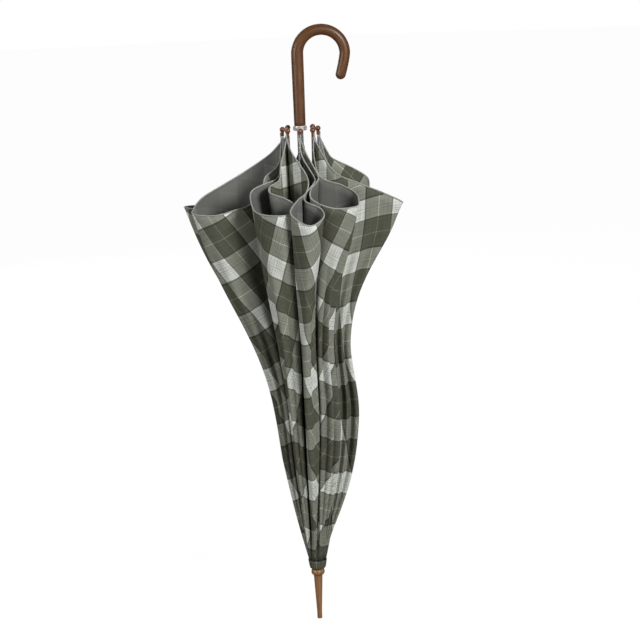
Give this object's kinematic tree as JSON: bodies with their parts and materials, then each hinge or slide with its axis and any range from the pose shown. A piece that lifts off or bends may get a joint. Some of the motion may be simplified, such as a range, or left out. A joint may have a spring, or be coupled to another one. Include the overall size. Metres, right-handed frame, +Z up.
{
  "type": "stick umbrella",
  "caption": "Stick umbrella with a wooden crook handle and plaid canopy, loosely closed, hanging ferrule down; slides open on hinged ribs and stretchers.",
  "frame": {"origin": "middle of the ferrule's flat end", "axes": "+Z up the shaft to the handle, +X the way the crook hooks, +Y away from the side seen"},
  "size_m": [0.3179, 0.2931, 0.8938],
  "materials": {
    "handle_wood": "satin, dark brown, grain along the wood",
    "collar_metal": "satin, pale",
    "dark_pins": "dark, matte",
    "shaft_steel": "plated, smooth",
    "ferrule_wood": "satin, lighter tan brown",
    "plaid_cloth": "woven olive, grey and white plaid, matte",
    "frame_steel": "satin",
    "wire_steel": "drawn wire",
    "spring_steel": "thin spring strip",
    "rib_steel": "rolled channel, plated",
    "tip_wood": "glossy varnished, reddish brown"
  },
  "bodies": {
    "shaft": {"handle": "handle_wood", "handle_collar": "collar_metal", "collar_pins": "dark_pins", "shaft": "shaft_steel", "ferrule": "ferrule_wood", "ferrule_collar": "ferrule_wood", "canopy_cap": "plaid_cloth", "crown_notch": "frame_steel", "crown_wire": "wire_steel"},
    "bottom_catch": {"bottom_catch": "spring_steel"},
    "top_catch": {"top_catch": "spring_steel"},
    "runner": {"runner": "frame_steel", "runner_wire": "wire_steel"},
    "rib_1": {"rib_1": "rib_steel", "rib_tip_1": "tip_wood", "rivet_1": "wire_steel"},
    "stretcher_1": {"stretcher_1": "rib_steel"},
    "gore_1": {"canopy_gore_1": "plaid_cloth"},
    "rib_2": {"rib_2": "rib_steel", "rib_tip_2": "tip_wood", "rivet_2": "wire_steel"},
    "stretcher_2": {"stretcher_2": "rib_steel"},
    "gore_2": {"canopy_gore_2": "plaid_cloth"},
    "rib_3": {"rib_3": "rib_steel", "rib_tip_3": "tip_wood", "rivet_3": "wire_steel"},
    "stretcher_3": {"stretcher_3": "rib_steel"},
    "gore_3": {"canopy_gore_3": "plaid_cloth"},
    "rib_4": {"rib_4": "rib_steel", "rib_tip_4": "tip_wood", "rivet_4": "wire_steel"},
    "stretcher_4": {"stretcher_4": "rib_steel"},
    "gore_4": {"canopy_gore_4": "plaid_cloth"},
    "rib_5": {"rib_5": "rib_steel", "rib_tip_5": "tip_wood", "rivet_5": "wire_steel"},
    "stretcher_5": {"stretcher_5": "rib_steel"},
    "gore_5": {"canopy_gore_5": "plaid_cloth"},
    "rib_6": {"rib_6": "rib_steel", "rib_tip_6": "tip_wood", "rivet_6": "wire_steel"},
    "stretcher_6": {"stretcher_6": "rib_steel"},
    "gore_6": {"canopy_gore_6": "plaid_cloth"},
    "rib_7": {"rib_7": "rib_steel", "rib_tip_7": "tip_wood", "rivet_7": "wire_steel"},
    "stretcher_7": {"stretcher_7": "rib_steel"},
    "gore_7": {"canopy_gore_7": "plaid_cloth"},
    "rib_8": {"rib_8": "rib_steel", "rib_tip_8": "tip_wood", "rivet_8": "wire_steel"},
    "stretcher_8": {"stretcher_8": "rib_steel"},
    "gore_8": {"canopy_gore_8": "plaid_cloth"}
  },
  "joints": [
    {"name": "runner_slide", "type": "slide", "parent": "shaft", "child": "runner", "axis": [0, 0, -1], "range_m": [0, 0.38524]},
    {"name": "rib_1_hinge", "type": "hinge", "parent": "shaft", "child": "rib_1", "pos_m": [0, -0.0085, 0.095], "axis": [1, 0, 0], "range_deg": [0, 73.5]},
    {"name": "stretcher_1_hinge", "type": "hinge", "parent": "rib_1", "child": "stretcher_1", "pos_m": [0, -0.01531, 0.35491], "axis": [1, 0, 0], "range_deg": [-147, 0]},
    {"name": "gore_1_fan", "type": "hinge", "parent": "rib_1", "child": "gore_1", "pos_m": [0, -0.00827, 0.0862], "axis": [-0.1066, 0.994, 0.026], "range_deg": [0, 43.4], "deforming": ["canopy_gore_1"]},
    {"name": "rib_2_hinge", "type": "hinge", "parent": "shaft", "child": "rib_2", "pos_m": [0.00601, -0.00601, 0.095], "axis": [0.7071, 0.7071, 0], "range_deg": [0, 73.5]},
    {"name": "stretcher_2_hinge", "type": "hinge", "parent": "rib_2", "child": "stretcher_2", "pos_m": [0.01082, -0.01082, 0.35491], "axis": [0.7071, 0.7071, 0], "range_deg": [-147, 0]},
    {"name": "gore_2_fan", "type": "hinge", "parent": "rib_2", "child": "gore_2", "pos_m": [0.00585, -0.00585, 0.0862], "axis": [-0.7782, 0.6275, 0.026], "range_deg": [0, 43.4], "deforming": ["canopy_gore_2"]},
    {"name": "rib_3_hinge", "type": "hinge", "parent": "shaft", "child": "rib_3", "pos_m": [0.0085, 0, 0.095], "axis": [0, 1, 0], "range_deg": [0, 73.5]},
    {"name": "stretcher_3_hinge", "type": "hinge", "parent": "rib_3", "child": "stretcher_3", "pos_m": [0.01531, 0, 0.35491], "axis": [0, 1, 0], "range_deg": [-147, 0]},
    {"name": "gore_3_fan", "type": "hinge", "parent": "rib_3", "child": "gore_3", "pos_m": [0.00827, 0, 0.0862], "axis": [-0.994, -0.1066, 0.026], "range_deg": [0, 43.4], "deforming": ["canopy_gore_3"]},
    {"name": "rib_4_hinge", "type": "hinge", "parent": "shaft", "child": "rib_4", "pos_m": [0.00601, 0.00601, 0.095], "axis": [-0.7071, 0.7071, 0], "range_deg": [0, 73.5]},
    {"name": "stretcher_4_hinge", "type": "hinge", "parent": "rib_4", "child": "stretcher_4", "pos_m": [0.01082, 0.01082, 0.35491], "axis": [-0.7071, 0.7071, 0], "range_deg": [-147, 0]},
    {"name": "gore_4_fan", "type": "hinge", "parent": "rib_4", "child": "gore_4", "pos_m": [0.00585, 0.00585, 0.0862], "axis": [-0.6275, -0.7782, 0.026], "range_deg": [0, 43.4], "deforming": ["canopy_gore_4"]},
    {"name": "rib_5_hinge", "type": "hinge", "parent": "shaft", "child": "rib_5", "pos_m": [0, 0.0085, 0.095], "axis": [-1, 0, 0], "range_deg": [0, 73.5]},
    {"name": "stretcher_5_hinge", "type": "hinge", "parent": "rib_5", "child": "stretcher_5", "pos_m": [0, 0.01531, 0.35491], "axis": [-1, 0, 0], "range_deg": [-147, 0]},
    {"name": "gore_5_fan", "type": "hinge", "parent": "rib_5", "child": "gore_5", "pos_m": [0, 0.00827, 0.0862], "axis": [0.1066, -0.994, 0.026], "range_deg": [0, 43.4], "deforming": ["canopy_gore_5"]},
    {"name": "rib_6_hinge", "type": "hinge", "parent": "shaft", "child": "rib_6", "pos_m": [-0.00601, 0.00601, 0.095], "axis": [-0.7071, -0.7071, 0], "range_deg": [0, 73.5]},
    {"name": "stretcher_6_hinge", "type": "hinge", "parent": "rib_6", "child": "stretcher_6", "pos_m": [-0.01082, 0.01082, 0.35491], "axis": [-0.7071, -0.7071, 0], "range_deg": [-147, 0]},
    {"name": "gore_6_fan", "type": "hinge", "parent": "rib_6", "child": "gore_6", "pos_m": [-0.00585, 0.00585, 0.0862], "axis": [0.7782, -0.6275, 0.026], "range_deg": [0, 43.4], "deforming": ["canopy_gore_6"]},
    {"name": "rib_7_hinge", "type": "hinge", "parent": "shaft", "child": "rib_7", "pos_m": [-0.0085, 0, 0.095], "axis": [0, -1, 0], "range_deg": [0, 73.5]},
    {"name": "stretcher_7_hinge", "type": "hinge", "parent": "rib_7", "child": "stretcher_7", "pos_m": [-0.01531, 0, 0.35491], "axis": [0, -1, 0], "range_deg": [-147, 0]},
    {"name": "gore_7_fan", "type": "hinge", "parent": "rib_7", "child": "gore_7", "pos_m": [-0.00827, 0, 0.0862], "axis": [0.994, 0.1066, 0.026], "range_deg": [0, 43.4], "deforming": ["canopy_gore_7"]},
    {"name": "rib_8_hinge", "type": "hinge", "parent": "shaft", "child": "rib_8", "pos_m": [-0.00601, -0.00601, 0.095], "axis": [0.7071, -0.7071, 0], "range_deg": [0, 73.5]},
    {"name": "stretcher_8_hinge", "type": "hinge", "parent": "rib_8", "child": "stretcher_8", "pos_m": [-0.01082, -0.01082, 0.35491], "axis": [0.7071, -0.7071, 0], "range_deg": [-147, 0]},
    {"name": "gore_8_fan", "type": "hinge", "parent": "rib_8", "child": "gore_8", "pos_m": [-0.00585, -0.00585, 0.0862], "axis": [0.6275, 0.7782, 0.026], "range_deg": [0, 43.4], "deforming": ["canopy_gore_8"]},
    {"name": "bottom_catch_press", "type": "slide", "parent": "shaft", "child": "bottom_catch", "axis": [-0.9239, -0.3827, 0], "range_m": [0, 0.0027], "stiffness_N_per_m": 400},
    {"name": "top_catch_press", "type": "slide", "parent": "shaft", "child": "top_catch", "axis": [-0.9239, -0.3827, 0], "range_m": [0, 0.0027], "stiffness_N_per_m": 400}
  ],
  "couplings": [
    {"joint": "rib_1_hinge", "follows": "runner_slide", "rad_per_m": 3.3299},
    {"joint": "stretcher_1_hinge", "follows": "runner_slide", "rad_per_m": -6.6598},
    {"joint": "gore_1_fan", "follows": "runner_slide", "rad_per_m": 1.965},
    {"joint": "rib_2_hinge", "follows": "runner_slide", "rad_per_m": 3.3299},
    {"joint": "stretcher_2_hinge", "follows": "runner_slide", "rad_per_m": -6.6598},
    {"joint": "gore_2_fan", "follows": "runner_slide", "rad_per_m": 1.965},
    {"joint": "rib_3_hinge", "follows": "runner_slide", "rad_per_m": 3.3299},
    {"joint": "stretcher_3_hinge", "follows": "runner_slide", "rad_per_m": -6.6598},
    {"joint": "gore_3_fan", "follows": "runner_slide", "rad_per_m": 1.965},
    {"joint": "rib_4_hinge", "follows": "runner_slide", "rad_per_m": 3.3299},
    {"joint": "stretcher_4_hinge", "follows": "runner_slide", "rad_per_m": -6.6598},
    {"joint": "gore_4_fan", "follows": "runner_slide", "rad_per_m": 1.965},
    {"joint": "rib_5_hinge", "follows": "runner_slide", "rad_per_m": 3.3299},
    {"joint": "stretcher_5_hinge", "follows": "runner_slide", "rad_per_m": -6.6598},
    {"joint": "gore_5_fan", "follows": "runner_slide", "rad_per_m": 1.965},
    {"joint": "rib_6_hinge", "follows": "runner_slide", "rad_per_m": 3.3299},
    {"joint": "stretcher_6_hinge", "follows": "runner_slide", "rad_per_m": -6.6598},
    {"joint": "gore_6_fan", "follows": "runner_slide", "rad_per_m": 1.965},
    {"joint": "rib_7_hinge", "follows": "runner_slide", "rad_per_m": 3.3299},
    {"joint": "stretcher_7_hinge", "follows": "runner_slide", "rad_per_m": -6.6598},
    {"joint": "gore_7_fan", "follows": "runner_slide", "rad_per_m": 1.965},
    {"joint": "rib_8_hinge", "follows": "runner_slide", "rad_per_m": 3.3299},
    {"joint": "stretcher_8_hinge", "follows": "runner_slide", "rad_per_m": -6.6598},
    {"joint": "gore_8_fan", "follows": "runner_slide", "rad_per_m": 1.965}
  ]
}
